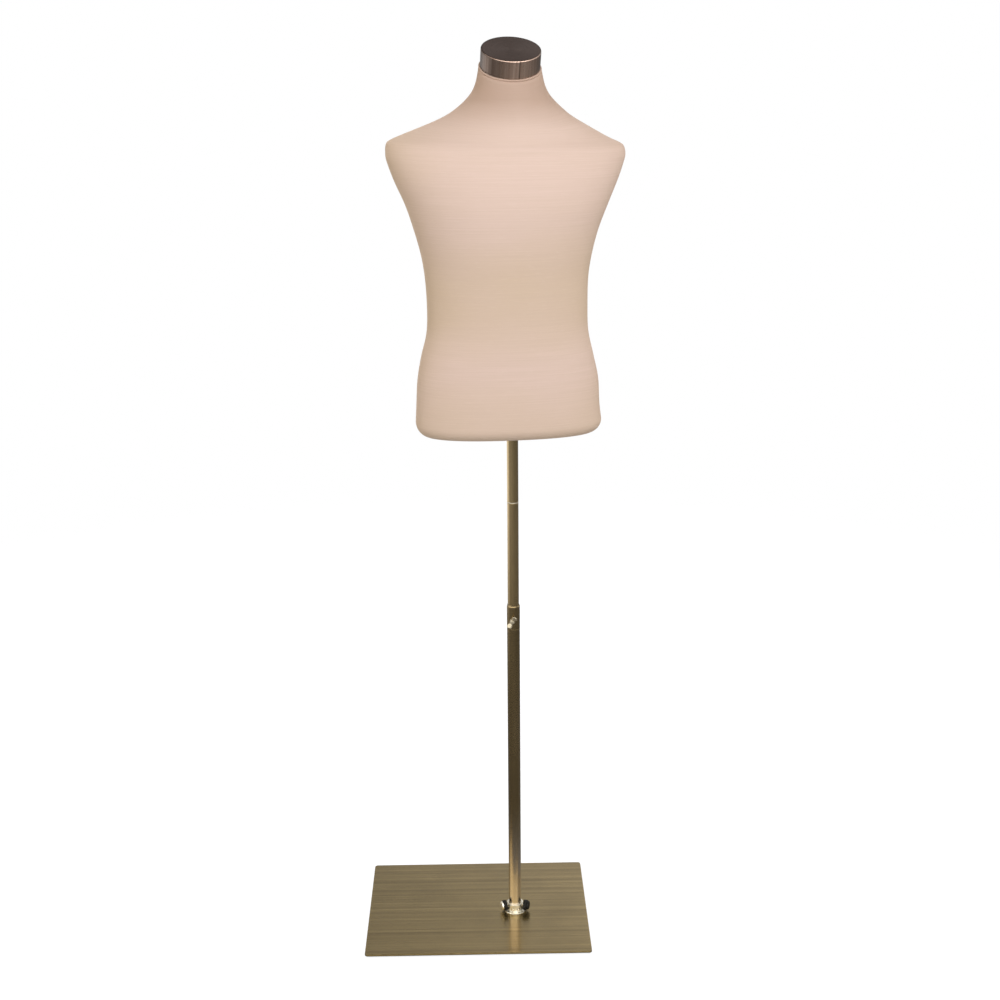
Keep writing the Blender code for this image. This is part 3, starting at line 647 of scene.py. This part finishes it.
def jersey_cover():
    """The stretched cover: under panel, rounded hem, body and neck, with its edges turned in."""
    turns = [2 * pi * k / AROUND for k in range(AROUND)]
    hole = [Vector((HOLE_RADIUS * cos(a), HOLE_RADIUS * sin(a), 0.0)) for a in turns]
    rim = section_ring(SECTIONS[0], ROUNDING, 0.0)
    grid = [[p * 0.93 + UP * 0.004 for p in hole], [p * 0.94 + UP * 0.0012 for p in hole], hole]
    for step in range(1, 8):
        t = step / 8
        grid.append([a.lerp(b, t) for a, b in zip(hole, rim)])
    edge_level = len(grid)
    for step in range(9):
        angle = radians(10 * step)
        inset = ROUNDING * (1 - sin(angle))
        grid.append(section_ring(SECTIONS[0], inset, ROUNDING * (1 - cos(angle))))
    for row in smooth_rows():
        grid.append(section_ring(row))
    axis = Vector((0.0, -sin(NECK_TILT), cos(NECK_TILT)))
    top = grid[-1]
    grid.pop()
    for shrink, lift in NECK_ROLL:
        grid.append([p + (NECK_MIDDLE - p).normalized() * shrink + axis * lift for p in top])
    place = form_place()
    verts = [place @ p for ring in grid for p in ring]
    uvs = []
    along = [[0.0] * AROUND for ring in grid]
    for level in range(1, len(grid)):
        for k in range(AROUND):
            along[level][k] = along[level - 1][k] + (grid[level][k] - grid[level - 1][k]).length
    girth = [sum((ring[k] - ring[k - 1]).length for k in range(AROUND)) for ring in grid]
    rise = [sum(row) / AROUND for row in along]
    for level in range(len(grid) - 1):
        for k in range(AROUND):
            u0, u1 = k / AROUND, (k + 1) / AROUND
            g0, g1 = girth[level], girth[level + 1]
            uvs.append(((u0 * g0, rise[level]), (u1 * g0, rise[level]),
                        (u1 * g1, rise[level + 1]), (u0 * g1, rise[level + 1])))
    faces = joined_rings(len(grid), AROUND)
    cover = mesh_piece("jersey_cover", verts, faces, uvs, JERSEY, 80)
    away = seam_distances(grid, along, edge_level)
    seams = cover.data.uv_layers.new(name="seams")
    flat = []
    for level in range(len(grid) - 1):
        for k in range(AROUND):
            n = (k + 1) % AROUND
            for corner in (away[level][k], away[level][n], away[level + 1][n], away[level + 1][k]):
                flat += corner
    seams.data.foreach_set("uv", flat)
    outward(cover)
    thickness = cover.modifiers.new("thickness", 'SOLIDIFY')
    thickness.thickness = COVER_THICK
    thickness.offset = -1.0
    applied(cover)
    settle(cover, "torso", "jersey", "fabric_cover")


# ---------------------------------------------------------------- neck cap

def cap_place():
    """The cap's frame: the middle of the neck's rim, with +Z along the way the cap lifts."""
    lean = Vector(joints["neck_cap_lift"]["axis"]).normalized()
    place = form_place()
    across = (place.to_3x3() @ Vector((1.0, 0.0, 0.0))).normalized()
    matrix = Matrix((across, lean.cross(across), lean)).transposed().to_4x4()
    matrix.translation = place @ NECK_MIDDLE
    return matrix


def neck_cap():
    """The cap's band with softened edges, and the flat disc set into it."""
    place = cap_place()
    radius = 0.0530
    start = 0.0006
    top = 0.0325
    wall = 0.0012
    band = [(radius - wall, start), (radius - 0.0004, start), (radius, start + 0.0005),
            (radius, 0.006), (radius, 0.011), (radius, 0.016), (radius, 0.021), (radius, 0.026),
            (radius, top - 0.0016), (radius - 0.0002, top - 0.0009),
            (radius - 0.0006, top - 0.0003), (radius - wall, top)]
    piece = lathe("neck_cap_ring", band, BAND_METAL, 160, place)
    settle(piece, "neck_cap", "cap_metal", "neck_cap_band")
    inner = radius - wall - GAP
    face = top - 0.0001
    disc = [(0, top - 0.0015), (inner, top - 0.0015), (inner, top - 0.0006),
            (inner - 0.0004, top - 0.0002), (inner - 0.0012, face), (0.030, face),
            (0.012, face), (0, face)]
    piece = lathe("neck_cap_disc", disc, TOP_METAL, 160, place)
    settle(piece, "neck_cap", "cap_metal", "neck_cap_top")


# ---------------------------------------------------------------- pole

def tube_piece(name, outer, inner, bottom, top, metal):
    """A tube on the pole's axis with softened outer edges."""
    edge = 0.0004
    soft = edge * 0.3
    profile = [(inner, bottom), (outer - edge, bottom), (outer - soft, bottom + soft),
               (outer, bottom + edge), (outer, top - edge), (outer - soft, top - soft),
               (outer - edge, top), (inner, top)]
    return lathe(name, profile, metal, place=along_pole(), sharp=50)


def pole():
    """The two lengths of the upper pole with their joint ring, and the lower pole."""
    upper = 0.0110
    lower = 0.0125
    wall = 0.0012
    for name, body, metal, radius in (("upper_pole_bottom", "pole", POLE_METAL, upper),
                                      ("upper_pole_top", "pole", POLE_METAL, upper),
                                      ("lower_pole", "stand", LOWER_METAL, lower)):
        piece = tube_piece(name + "_tube", radius, radius - wall, low(name).z, high(name).z, metal)
        settle(piece, body, "pole_metal", name)
    ring = tube_piece("joint_ring_turned", upper + 0.0001, 0.0056, low("joint_ring").z,
                      high("joint_ring").z, BRIGHT)
    settle(ring, "pole", "bright_metal", "joint_ring")


def clamp_fitting():
    """The fitting on the lower pole, its threaded boss, and the bush that guides the upper pole."""
    outer = 0.01275
    bore = 0.0113
    seat = 0.0119
    bottom = low("clamp_fitting").z
    top = high("clamp_fitting").z
    seat_bottom = top - 0.012
    profile = rounded([(bore, bottom), (outer, bottom), (outer, top), (seat, top),
                       (seat, seat_bottom), (bore, seat_bottom)], 0.0005)
    fitting = lathe("clamp_fitting_turned", profile, LOWER_METAL, place=along_pole())
    settle(fitting, "stand", "pole_metal", "clamp_fitting")
    boss_radius = 0.0055
    thread_radius = 0.0033
    profile = rounded([(0, bore + 0.0006), (boss_radius, bore + 0.0006), (boss_radius, 0.0180),
                       (thread_radius, 0.0180), (thread_radius, 0.0150), (0, 0.0150)], 0.0006)
    boss = lathe("clamp_boss_turned", profile, LOWER_METAL, 48, sideways("wing_screw_turn"))
    settle(boss, "stand", "pole_metal")
    lip = high("fitting_bush").z
    profile = [(bore, seat_bottom + GAP), (seat - GAP, seat_bottom + GAP),
               (seat - GAP, top + GAP), (outer, top + GAP), (outer, top + 0.0010),
               (outer - 0.0004, top + 0.0015), (bore + 0.0006, top + 0.0021),
               (bore + 0.0005, lip - 0.0004), (bore + 0.0001, lip)]
    bush = lathe("fitting_bush_turned", profile, LOWER_METAL, place=along_pole())
    settle(bush, "stand", "bush_plastic", "fitting_bush")


def paddle(place):
    """One wing: a narrow root that widens to a round end, with domed faces."""
    end = 0.0098
    width = 0.0052
    root = [(0.0, 0.0022), (0.0030, 0.0023), (0.0055, 0.0032), (0.0076, 0.0044)]
    outline = list(root)
    for step in range(13):
        angle = radians(80 - 160 * step / 12)
        outline.append((end + width * cos(angle), width * sin(angle)))
    outline += [(x, -y) for x, y in reversed(root)]
    work = bmesh.new()
    rings = []
    for inset, level in ((0.0, -0.0002), (0.0003, -0.0006), (0.0010, -0.0009), (0.0020, -0.00110),
                         (0.0032, -0.00120)):
        rings.append([(x - (0.6 * inset if x > 0.001 else 0.0), y * (1 - inset / width), level)
                      for x, y in outline])
    layers = list(reversed(rings)) + [[(x, y, -z) for x, y, z in ring] for ring in rings]
    count = len(outline)
    made = [work.verts.new(place @ Vector(p)) for layer in layers for p in layer]
    for face in joined_rings(len(layers), count):
        work.faces.new([made[index] for index in face])
    work.faces.new(list(reversed(made[:count])))
    work.faces.new(made[-count:])
    bmesh.ops.recalc_face_normals(work, faces=work.faces)
    mesh = bpy.data.meshes.new("wing")
    work.to_mesh(mesh)
    work.free()
    piece = bpy.data.objects.new("wing", mesh)
    bpy.context.collection.objects.link(piece)
    return piece


def wing_screw():
    """A cast screw: thread, round hub and two tilted wings, joined into one piece."""
    axis = sideways("wing_screw_turn")
    tip = 0.0130
    hub = 0.0183
    radius = 0.0030
    profile = [(0, tip), (radius - 0.0005, tip)]
    level = tip + 0.0006
    while level < hub - 0.0009:
        profile += [(radius - 0.0002, level), (radius, level + 0.0002),
                    (radius - 0.0002, level + 0.0005)]
        level += 0.0007
    profile += [(0.0044, hub), (0.0049, hub + 0.0005), (0.0051, hub + 0.0028),
                (0.0047, hub + 0.0055), (0.0038, hub + 0.0071), (0.0022, hub + 0.0076),
                (0, hub + 0.0077)]
    screw = lathe("wing_screw_cast", profile, CAST, 48, axis)
    root = axis @ Matrix.Translation((0, 0, hub + 0.0030))
    tilt = Matrix.Rotation(radians(-30), 4, 'Y')
    wings = [paddle(root @ Matrix.Rotation(radians(55) + side * pi, 4, 'Z') @ tilt)
             for side in (0, 1)]
    combined(screw, wings, 'UNION')
    screw.data.shade_smooth()
    screw.data.set_sharp_from_angle(angle=radians(40))
    settle(screw, "wing_screw", "bright_metal", "wing_screw")


# ---------------------------------------------------------------- base

SET_SCREWS = ("set_screw_left", "set_screw_right")
KEY_HALF = 0.0014                                # half the hexagon socket's width over flats


def base_plate():
    """Plate with small rounded corners and a softened edge."""
    lowest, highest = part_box("base_plate")
    corner = 0.0060
    edge = 0.0006
    outline = []
    for cx, cy, start in ((highest.x, highest.y, 0), (lowest.x, highest.y, 90),
                          (lowest.x, lowest.y, 180), (highest.x, lowest.y, 270)):
        inner_x = cx - corner if cx > 0 else cx + corner
        inner_y = cy - corner if cy > 0 else cy + corner
        for step in range(7):
            angle = radians(start + 15 * step)
            outline.append((inner_x, inner_y, cos(angle), sin(angle)))
    rings = ((corner - 3 * edge, lowest.z), (corner - edge, lowest.z), (corner, lowest.z + edge),
             (corner, highest.z - edge), (corner - edge * 0.3, highest.z - edge * 0.3),
             (corner - edge, highest.z), (corner - 3 * edge, highest.z))
    verts = []
    for reach, level in rings:
        verts += [(x + reach * c, y + reach * s, level) for x, y, c, s in outline]
    count = len(outline)
    faces = joined_rings(len(rings), count)
    faces.append(tuple(reversed(range(count))))
    faces.append(tuple(range((len(rings) - 1) * count, len(rings) * count)))
    uvs = [[(verts[v][0], verts[v][1] + verts[v][2]) for v in face] for face in faces]
    plate = outward(mesh_piece("base_plate_brushed", verts, faces, uvs, PLATE_METAL, 25))
    settle(plate, "stand", "plate_metal", "base_plate")


def base_socket():
    """The turned collar with its thin flange, and the holes for its four screws."""
    bottom = low("base_socket").z
    top = high("base_socket").z
    bolt_hole = 0.0043
    bore = 0.0128
    outer = 0.0165
    flange = 0.0230
    inside = bottom + 0.0025
    profile = [(bolt_hole, bottom), (flange - 0.0003, bottom), (flange, bottom + 0.0003),
               (flange, bottom + 0.0011), (flange - 0.0006, bottom + 0.0016),
               (outer + 0.0012, bottom + 0.0017), (outer + 0.0003, bottom + 0.0020),
               (outer, bottom + 0.0028), (outer, top - 0.0011), (outer - 0.0003, top - 0.0004),
               (outer - 0.0011, top), (bore + 0.0004, top), (bore, top - 0.0004),
               (bore, inside), (bolt_hole, inside)]
    socket = lathe("base_socket_turned", profile, COLLAR, 128, along_pole())
    holes = [(0.0033, sideways(side + "_thumb_turn")) for side in ("left", "right")]
    holes += [(0.0036, set_screw_place(name)) for name in SET_SCREWS]
    tools = [lathe("tool", [(0, 0.008), (radius, 0.008), (radius, 0.03), (0, 0.03)], BRIGHT, 32,
                   place) for radius, place in holes]
    combined(socket, tools, 'DIFFERENCE')
    socket.data.set_sharp_from_angle(angle=radians(35))
    settle(socket, "stand", "bright_metal", "base_socket")


def set_screw_place(name):
    """A frame on the pole's axis at a set screw's height, facing out along the screw."""
    centre = middle(name)
    out = Vector((centre.x - POLE_X, centre.y - POLE_Y, 0.0)).normalized()
    return facing(out, Vector((POLE_X, POLE_Y, centre.z)))


def set_screws():
    """Grub screws with a cup tip, a chamfered head and a hexagon socket."""
    radius = 0.0025
    inner = 0.0129
    outer = 0.0169
    count = 24
    angles = [2 * pi * k / count for k in range(count)]
    key = [KEY_HALF / cos(radians((15 * k) % 60 - 30)) for k in range(count)]
    layers = [([radius - 0.0007] * count, inner), ([radius] * count, inner + 0.0007),
              ([radius] * count, outer - 0.0005), ([radius - 0.0004] * count, outer),
              ([k + 0.0001 for k in key], outer), (key, outer - 0.0002), (key, outer - 0.0016)]
    faces = joined_rings(len(layers), count)
    faces.append(tuple(reversed(range(count))))
    faces.append(tuple(range((len(layers) - 1) * count, len(layers) * count)))
    uvs = [[(0.0, 0.0)] * len(face) for face in faces]
    for name in SET_SCREWS:
        place = set_screw_place(name)
        verts = [place @ Vector((r * cos(a), r * sin(a), level))
                 for reach, level in layers for r, a in zip(reach, angles)]
        screw = outward(mesh_piece(name + "_head", verts, faces, uvs, BRIGHT, 30))
        settle(screw, "stand", "bright_metal", name)


def thumb_screw(side):
    """A threaded shaft with a collar, a ribbed black knob and a domed end cap."""
    place = sideways(side + "_thumb_turn")
    body = side + "_thumb_screw"
    start = 0.0145
    knob = 0.0186
    end = knob + 0.0075
    radius = 0.0030
    shoulder = 0.0062
    profile = [(0, start), (radius - 0.0005, start), (radius, start + 0.0004)]
    level = start + 0.0006
    while level < knob - 0.0021:
        profile += [(radius, level), (radius - 0.0003, level + 0.0003)]
        level += 0.0006
    profile += [(radius, knob - 0.0014), (shoulder - 0.0004, knob - 0.0013),
                (shoulder, knob - 0.0010), (shoulder, knob - 0.0004), (radius, knob - 0.0003),
                (radius, end - 0.001), (0, end - 0.001)]
    piece = lathe("thumb_%s_shaft" % side, profile, BRIGHT, 48, place)
    settle(piece, body, "bright_metal", "thumb_shaft_" + side)

    full = 0.0104
    bore = 0.0034
    ribs = 12
    steps = 10                                   # to each rib
    count = ribs * steps
    angles = [2 * pi * k / count for k in range(count)]
    reach = []
    for k in range(count):
        wave = 0.5 + 0.5 * cos(2 * pi * k / steps)
        reach.append(full - 0.0009 * (1 - min(1.0, wave * 1.7)))
    layers = [([r + inset for r in reach], level) for inset, level in (
        (-0.0012, knob), (-0.0004, knob + 0.0002), (0.0, knob + 0.0009), (0.0, end - 0.0010),
        (-0.0004, end - 0.0003), (-0.0012, end))]
    layers += [([bore] * count, end), ([bore] * count, knob)]
    verts = [place @ Vector((r * cos(a), r * sin(a), level))
             for radii, level in layers for r, a in zip(radii, angles)]
    faces = joined_rings(len(layers), count, closed=True)
    uvs = [[(0.0, 0.0)] * 4 for face in faces]
    piece = outward(mesh_piece("thumb_%s_knob" % side, verts, faces, uvs, BLACK, 40))
    settle(piece, body, "black_plastic", "thumb_knob_" + side)

    base = end + GAP
    cap = [(0, base), (0.0084, base), (0.0088, base + 0.0004), (0.0088, base + 0.0018),
           (0.0085, base + 0.0026), (0.0076, base + 0.0033), (0.0060, base + 0.0037),
           (0.0030, base + 0.0040), (0, base + 0.0041)]
    metal, slot = (COLLAR, "bright_metal") if side == "left" else (BLACK, "black_plastic")
    piece = lathe("thumb_%s_end_cap" % side, cap, metal, 64, place)
    settle(piece, body, slot, "thumb_cap_" + side)


# ---------------------------------------------------------------- stage and light

BELOW = (0.62, 0.24)                             # reflections below the horizon, left and right
STEEP = 0.22                                     # far below it
BACK = (0.72, 1.50)                              # above it towards the back, left and right
LEFT = 2.1                                       # a low window on the left
FRONT = 5.0                                      # a bright band high at the front
CEILING = 0.12
MIRROR_TONE = (1.0, 0.995, 0.985, 1.0)
AMBIENT = 0.51                                   # even light on what isn't a mirror
AMBIENT_TONE = (1.0, 0.910, 0.680, 1.0)
PAGE_TONE = (1.0, 1.0, 1.0, 1.0)                 # what the camera sees behind the object
FLOOR_RADIUS = 6.0
FLOOR_FADE = (1.3, 3.2)                          # from the middle, where it turns clear
FLOOR_TONE = (0.45, 0.46, 0.48)
FLOOR_LIFT = 0.72                                # its own glow to the camera
FLOOR_DULL = 0.25                                # how pale the floor is in reflections


def world():
    """White to the camera, even and warm on the cloth, and bands of light for the metals."""
    made = bpy.data.worlds.new("studio")
    bpy.context.scene.world = made
    made.use_nodes = True
    n = Nodes(made.node_tree)
    n.tree.nodes.clear()

    def ramp(value, start, end, first, last):
        return n.between(value, first, last, start, end)

    def times(a, b):
        return n.maths("MULTIPLY", a, b)

    # the direction looked in: x to the right, y to the back and z up
    x, y, z = n.parts(n.add("TexCoord").outputs["Generated"])
    window = times(times(ramp(z, -0.42, -0.32, 0.0, 1.0), ramp(z, -0.12, -0.04, 1.0, 0.0)),
                   times(ramp(x, -0.30, -0.05, 1.0, 0.0), ramp(y, -0.40, -0.05, 0.0, 1.0)))
    below = ramp(window, 0.0, 1.0, ramp(x, -0.55, 0.45, *BELOW), LEFT)
    below = ramp(z, -0.58, -0.42, STEEP, below)
    back = ramp(x, -0.12, 0.12, *BACK)
    turned = n.add("Math", {0: x, 1: 0.45, 2: y}, operation="MULTIPLY_ADD").outputs[0]
    band = times(times(ramp(z, 0.32, 0.42, 0.0, 1.0), ramp(z, 0.78, 0.94, 1.0, 0.0)),
                 ramp(turned, -0.40, 0.0, 1.0, 0.0))
    above = ramp(band, 0.0, 1.0, ramp(z, 0.55, 0.85, back, CEILING), FRONT)
    mirrored = ramp(z, -0.04, 0.06, below, above)
    rays = n.add("LightPath").outputs
    page = n.add("Background", {"Color": PAGE_TONE, "Strength": 1.0}).outputs[0]
    ambient = n.add("Background", {"Color": AMBIENT_TONE, "Strength": AMBIENT}).outputs[0]
    shiny = n.add("Background", {"Color": MIRROR_TONE, "Strength": mirrored}).outputs[0]
    pick = n.add("MixShader", {0: rays["Is Glossy Ray"], 1: ambient, 2: shiny}).outputs[0]
    pick = n.add("MixShader", {0: rays["Is Camera Ray"], 1: pick, 2: page}).outputs[0]
    n.add("OutputWorld", {"Surface": pick})


def floor():
    """A large pale disc that fades into the background, and is clear from below."""
    work = bmesh.new()
    bmesh.ops.create_circle(work, cap_ends=True, cap_tris=True, segments=128, radius=FLOOR_RADIUS)
    mesh = bpy.data.meshes.new("floor")
    work.to_mesh(mesh)
    work.free()
    made = bpy.data.objects.new("floor", mesh)
    bpy.context.collection.objects.link(made)
    made.location.z = -0.0002
    surface = bpy.data.materials.new("floor")
    surface.use_nodes = True
    n = Nodes(surface.node_tree)
    n.tree.nodes.clear()
    away = n.add("VectorMath", {0: n.add("TexCoord").outputs["Object"]}, operation="LENGTH")
    fade = n.between(away.outputs["Value"], 0.0, 1.0, *FLOOR_FADE, interpolation_type="SMOOTHSTEP")
    rays = n.add("LightPath").outputs
    tone = n.mix(rays["Is Glossy Ray"], FLOOR_TONE, (FLOOR_DULL, FLOOR_DULL, FLOOR_DULL))
    matt = n.add("BsdfDiffuse", {"Color": tone}).outputs[0]
    lift = n.maths("MULTIPLY", rays["Is Camera Ray"], FLOOR_LIFT)
    glow = n.add("Emission", {"Strength": lift}).outputs[0]
    both = n.add("AddShader", {0: matt, 1: glow}).outputs[0]
    clear = n.add("BsdfTransparent").outputs[0]
    gone = n.maths("MAXIMUM", fade, n.add("NewGeometry").outputs["Backfacing"])
    mixed = n.add("MixShader", {0: gone, 1: both, 2: clear}).outputs[0]
    n.add("OutputMaterial", {"Surface": mixed})
    mesh.materials.append(surface)


def softbox(name, place, aim_height, size, watts, colour):
    """A rectangular light aimed at a height on the pole's axis, and not seen in reflections."""
    data = bpy.data.lights.new(name, 'AREA')
    data.shape = 'RECTANGLE'
    data.size, data.size_y = size
    data.energy = watts
    data.color = colour
    made = bpy.data.objects.new(name, data)
    bpy.context.collection.objects.link(made)
    made.location = place
    made.rotation_mode = 'QUATERNION'
    aim = Vector((POLE_X, POLE_Y, aim_height)) - Vector(place)
    made.rotation_quaternion = aim.to_track_quat('-Z', 'Y')
    made.visible_camera = False
    made.visible_glossy = False


# ---------------------------------------------------------------- the scene

camera()
world()
floor()
softbox("key", (0.75, -2.9, 3.3), 1.30, (2.0, 1.6), 65.0, (0.95, 1.0, 1.18))
softbox("back", (-0.6, 3.3, 2.4), 1.25, (3.0, 2.0), 66.0, (0.95, 1.0, 1.16))
softbox("left", (-3.3, 0.6, 1.9), 1.25, (2.0, 2.0), 14.0, (1.0, 1.0, 1.04))
softbox("right", (3.3, 1.0, 1.9), 1.25, (2.0, 2.0), 12.0, (1.0, 1.0, 1.10))
softbox("front", (0.1, -3.4, 1.5), 1.10, (3.0, 1.5), 24.0, (0.98, 1.0, 1.08))

jersey_cover()
neck_cap()
pole()
clamp_fitting()
wing_screw()
base_plate()
base_socket()
set_screws()
thumb_screw("left")
thumb_screw("right")

# the CAD's own pieces that show as they are, with their materials
CARRIED = {
    FIBREGLASS: ("torso_shell_front", "torso_shell_back"),
    BOARD: ("base_board", "neck_plug", "neck_cap_core"),
    STEEL: ("pole_socket", "socket_screw_1", "socket_screw_2", "socket_screw_3", "socket_screw_4",
            "neck_insert", "neck_cap_peg", "neck_cap_nut", "joint_stud", "socket_bolt",
            "socket_washer", "socket_nut"),
    BLACK: ("pole_guide_bush", "pole_top_plug"),
    NYLON: ("thrust_pad", "wing_screw_pad", "thumb_pad_left", "thumb_pad_right"),
    FELT: ("base_felt",),
}
for surface, names in CARRIED.items():
    for name in names:
        nodes[name].data.materials.clear()
        nodes[name].data.materials.append(surface)

bpy.context.scene.view_settings.view_transform = 'Standard'
